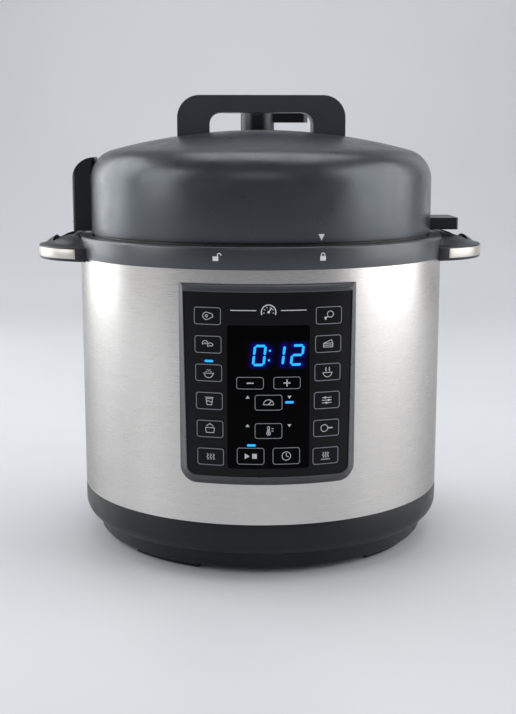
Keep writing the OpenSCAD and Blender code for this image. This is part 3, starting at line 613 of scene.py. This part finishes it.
# Width and height of each key's face, which is smaller than the key's box but has the same middle
SIDE_KEY = (17.2, 11.3)
KEY_FACE = {"key_minus": (17.6, 8.1), "key_plus": (17.6, 8.1), "key_pressure": (17.8, 10.3),
            "key_temperature": (17.8, 10.3), "key_start": (17.8, 11.2), "key_timer": (17.8, 11.2)}
OUTLINE_INSET, OUTLINE_CORNER, OUTLINE_WIDTH, PICTURE_SCALE = 0.15, 1.7, 0.42, 0.95
key_face = on_panel(KEY_PROUD)
for name, picture in PICTURES.items():
    low, high = (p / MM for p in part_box(name))
    cx, cz = (low.x + high.x) / 2, (low.z + high.z) / 2
    w, h = (size - OUTLINE_INSET for size in KEY_FACE.get(name, SIDE_KEY))
    outline = frame_line(cx, cz, w, h, OUTLINE_CORNER, OUTLINE_WIDTH)
    printed(name + "_outline", outline, key_face, name, "print_line")
    printed(name + "_picture", moved(picture, cx, cz, PICTURE_SCALE), key_face, name,
            "print_grey")

# Marks beside the pressure and temperature keys: up for high, down for low
for row, z in (("pressure", 124.1), ("temperature", 105.6)):
    for side, x, tip in (("high", -13.4, 1), ("low", 13.4, -1)):
        triangle = [(x - 1.3, z - 0.8 * tip), (x + 1.3, z - 0.8 * tip), (x, z + 1.1 * tip)]
        printed(f"mark_{row}_{side}", [triangle], glass, "housing", "print_grey")

# A small gauge between two fine lines, where a name would stand
GAUGE_Z = PANEL_LOW + 113.6
gauge_ticks = [s for a in range(-10, 191, 40)
               for s in stroke([arc(0, GAUGE_Z, r, a, a, 1)[0] for r in (3.4, 2.7)], 0.4)]
gauge = (stroke(arc(0, GAUGE_Z, 4.6, -20, 200, 26), 0.6) + gauge_ticks
         + stroke([(0, GAUGE_Z), (1.9, GAUGE_Z + 2.6)], 0.6) + disc(0, GAUGE_Z, 0.8)
         + stroke([(-24, GAUGE_Z + 1), (-8, GAUGE_Z + 1)], 0.5)
         + stroke([(8, GAUGE_Z + 1), (24, GAUGE_Z + 1)], 0.5))
printed("panel_gauge", gauge, on_panel(0), "housing", "print_white")

# ---- Lock marks on the collar and the pointer on the lid ----


def padlock(opened):
    """A padlock, with its shackle swung to one side when it is open."""
    body = [[(-1.9, -2.5), (1.9, -2.5), (1.9, 0.4), (-1.9, 0.4)]]
    shift = 2.4 if opened else 0.0
    shackle = [(shift - 1.15, 0.3 if not opened else 0.5), *arc(shift, 1.2, 1.15, 180, 0, 10),
               (shift + 1.15, 1.2 if opened else 0.3)]
    return body + stroke(shackle, 0.6)


LOCK_Z, POINTER_Z, POINTER_HALF_W, POINTER_HALF_H = 213.2, 224.7, 2.1, 2.05
for name, opened, degrees in (("lock_open_mark", True, -14.6), ("lock_closed_mark", False, 15.2)):
    printed(name, moved(padlock(opened), 0, LOCK_Z), on_wall(COLLAR_R, degrees), "housing",
            "print_white")
pointer = [(0, POINTER_Z - POINTER_HALF_H), (POINTER_HALF_W, POINTER_Z + POINTER_HALF_H),
           (-POINTER_HALF_W, POINTER_Z + POINTER_HALF_H)]
printed("lid_pointer", [pointer], on_wall(LID_R, 16.2), "lid", "print_white")

# ---- Two pieces that need a form or a surface of their own ----


def sleeve(name, r_in, r_out, low, high, body, look, steps=200):
    """A thin closed tube about the body's axis, in millimetres."""
    section = [(r_in, low), (r_out, low), (r_out, high), (r_in, high)]
    verts = [Vector((r * math.cos(a), r * math.sin(a), z)) * MM
             for a in (2 * math.pi * i / steps for i in range(steps)) for r, z in section]
    polys = [(4 * i + k, 4 * j + k, 4 * j + n, 4 * i + n) for i in range(steps) for j in [(i + 1) % steps]
             for k, n in ((0, 1), (1, 2), (2, 3), (3, 0))]
    obj = solid(name, verts, polys, body, look)
    for poly in obj.data.polygons:
        poly.use_smooth = abs(poly.normal.z) < 0.5
    return obj


def coil(name, radius, wire, low, high, turns, body, look, steps=48, sides=10):
    """A round wire wound about the axis, closed at both ends, in millimetres."""
    verts, count = [], round(turns * steps) + 1
    rise = (high - low - 2 * wire) / turns
    slope = math.atan(rise / (2 * math.pi * radius))
    for i in range(count):
        turn = 2 * math.pi * i / steps
        out = Vector((math.cos(turn), math.sin(turn), 0))
        along = Vector((-math.sin(turn) * math.cos(slope), math.cos(turn) * math.cos(slope), math.sin(slope)))
        up = out.cross(along)
        middle = out * radius + Vector((0, 0, low + wire + rise * i / steps))
        verts += [(middle + wire * (math.cos(a) * out + math.sin(a) * up)) * MM
                  for a in (2 * math.pi * k / sides for k in range(sides))]
    polys = [(i * sides + k, i * sides + n, (i + 1) * sides + n, (i + 1) * sides + k)
             for i in range(count - 1) for k in range(sides) for n in [(k + 1) % sides]]
    polys += [tuple(range(sides))[::-1], tuple((count - 1) * sides + k for k in range(sides))]
    obj = solid(name, verts, polys, body, look)
    for poly in obj.data.polygons[:-2]:
        poly.use_smooth = True
    return obj


# Painted shade: a dark sleeve on the outside of the lid plate's skirt, where the gap under the lid shows it,
# stands in for the shade in that gap
GAP_SHADE_IN, GAP_SHADE_OUT, GAP_SHADE_LOW, GAP_SHADE_HIGH = LID_R - 2.1, LID_R - 1.85, 209, 228
sleeve("lid_gap_painted_shade", GAP_SHADE_IN, GAP_SHADE_OUT, GAP_SHADE_LOW, GAP_SHADE_HIGH, "lid", "part_black")

# The spring under the sensor, as one wound wire
spring_low, spring_high = (p.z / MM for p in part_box("sensor_spring"))
SPRING_R, WIRE_R, SPRING_TURNS, SENSOR_TRAVEL = 8, 0.7, 4, 3.0
spring = coil("wound_spring", SPRING_R, WIRE_R, spring_low, spring_high, SPRING_TURNS, "housing",
              "screw_steel")
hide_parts("sensor_spring")
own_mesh(spring)

# ---- Floor, light and camera ----

# A floor that sweeps up into a backdrop, in metres: its front edge, where the sweep starts, and its bend
FLOOR_FRONT, SWEEP_Y, SWEEP_R, BACK_HIGH, HALF_WIDE = -3.0, 1.1, 0.7, 3.2, 4.0
ground = bpy.data.meshes.new("floor")
sweep = [(SWEEP_Y + SWEEP_R * math.sin(a), SWEEP_R - SWEEP_R * math.cos(a))
         for a in (math.radians(10 * i) for i in range(1, 10))]
profile = [(FLOOR_FRONT, 0.0), (SWEEP_Y, 0.0), *sweep, (SWEEP_Y + SWEEP_R, BACK_HIGH)]
verts = [(x, y, z) for y, z in profile for x in (-HALF_WIDE, HALF_WIDE)]
faces = [(2 * i, 2 * i + 1, 2 * i + 3, 2 * i + 2) for i in range(len(profile) - 1)]
ground.from_pydata(verts, [], faces)
for poly in ground.polygons:
    poly.use_smooth = True
floor_look = Nodes("floor_pale")
cloud = floor_look.noise(3, 3)
floor_look.set(Base_Color=floor_look.blend(cloud, srgb(214, 216, 219), srgb(222, 224, 227)),
               Roughness=floor_look.spread(floor_look.noise(8, 3), 0.42, 0.55))
ground.materials.append(floor_look.mat)
floor = bpy.data.objects.new("floor", ground)
bpy.context.scene.collection.objects.link(floor)

world = bpy.data.worlds.new("studio")
bpy.context.scene.world = world
world.use_nodes = True
background = world.node_tree.nodes["Background"]
background.inputs["Color"].default_value = (0.88, 0.89, 0.92, 1)
background.inputs["Strength"].default_value = 0.27


def soft_box(name, where, at, size, power, colour=(1, 1, 1)):
    """A rectangular soft light that looks from one point at another; the camera doesn't see its face."""
    data = bpy.data.lights.new(name, "AREA")
    data.shape = "RECTANGLE"
    data.size, data.size_y = size
    data.energy = power
    data.color = colour
    obj = bpy.data.objects.new(name, data)
    obj.location = where
    obj.rotation_mode = "QUATERNION"
    obj.rotation_quaternion = (Vector(at) - Vector(where)).to_track_quat("-Z", "Y")
    obj.visible_camera = False
    bpy.context.scene.collection.objects.link(obj)


BODY_MIDDLE = (0, 0, 0.15)
soft_box("left_window", (-1.18, 0.56, 0.5), BODY_MIDDLE, (1.0, 1.6), 15.5, (0.97, 0.99, 1))
soft_box("left_room", (-1.45, -0.5, 0.7), BODY_MIDDLE, (0.8, 1.2), 8)
soft_box("right_window", (1.32, -0.18, 0.5), BODY_MIDDLE, (1.4, 1.6), 18.5)
soft_box("right_back", (0.92, 1.02, 0.6), BODY_MIDDLE, (0.5, 1.2), 1)
soft_box("overhead", (0.1, 0.3, 1.9), (0, 0, 0.2), (1.6, 1.2), 13, (0.97, 0.98, 1))
soft_box("front_fill", (-0.2, -2.4, 1.5), (0, 0, 0.1), (1.6, 1.0), 4)

# The camera: distance from the body's axis and height in metres, then how far it looks down, how far round
# the body it stands and how far it turns from the axis, in degrees
LENS_SENSOR, FOCAL = 36.0, 60.05
AWAY, EYE_Z, PITCH, AZIMUTH, AIM = 0.878, 0.2818, 10.03, -2.15, 0.13
camera_data = bpy.data.cameras.new("camera")
camera_data.sensor_fit = "VERTICAL"
camera_data.sensor_height = LENS_SENSOR
camera_data.lens = FOCAL
camera = bpy.data.objects.new("camera", camera_data)
turn = math.radians(AZIMUTH)
camera.location = (AWAY * math.sin(turn), -AWAY * math.cos(turn), EYE_Z)
camera.rotation_euler = (math.radians(90 - PITCH), 0, turn + math.radians(AIM))
bpy.context.scene.collection.objects.link(camera)
bpy.context.scene.camera = camera
bpy.context.scene.view_settings.view_transform = "Standard"
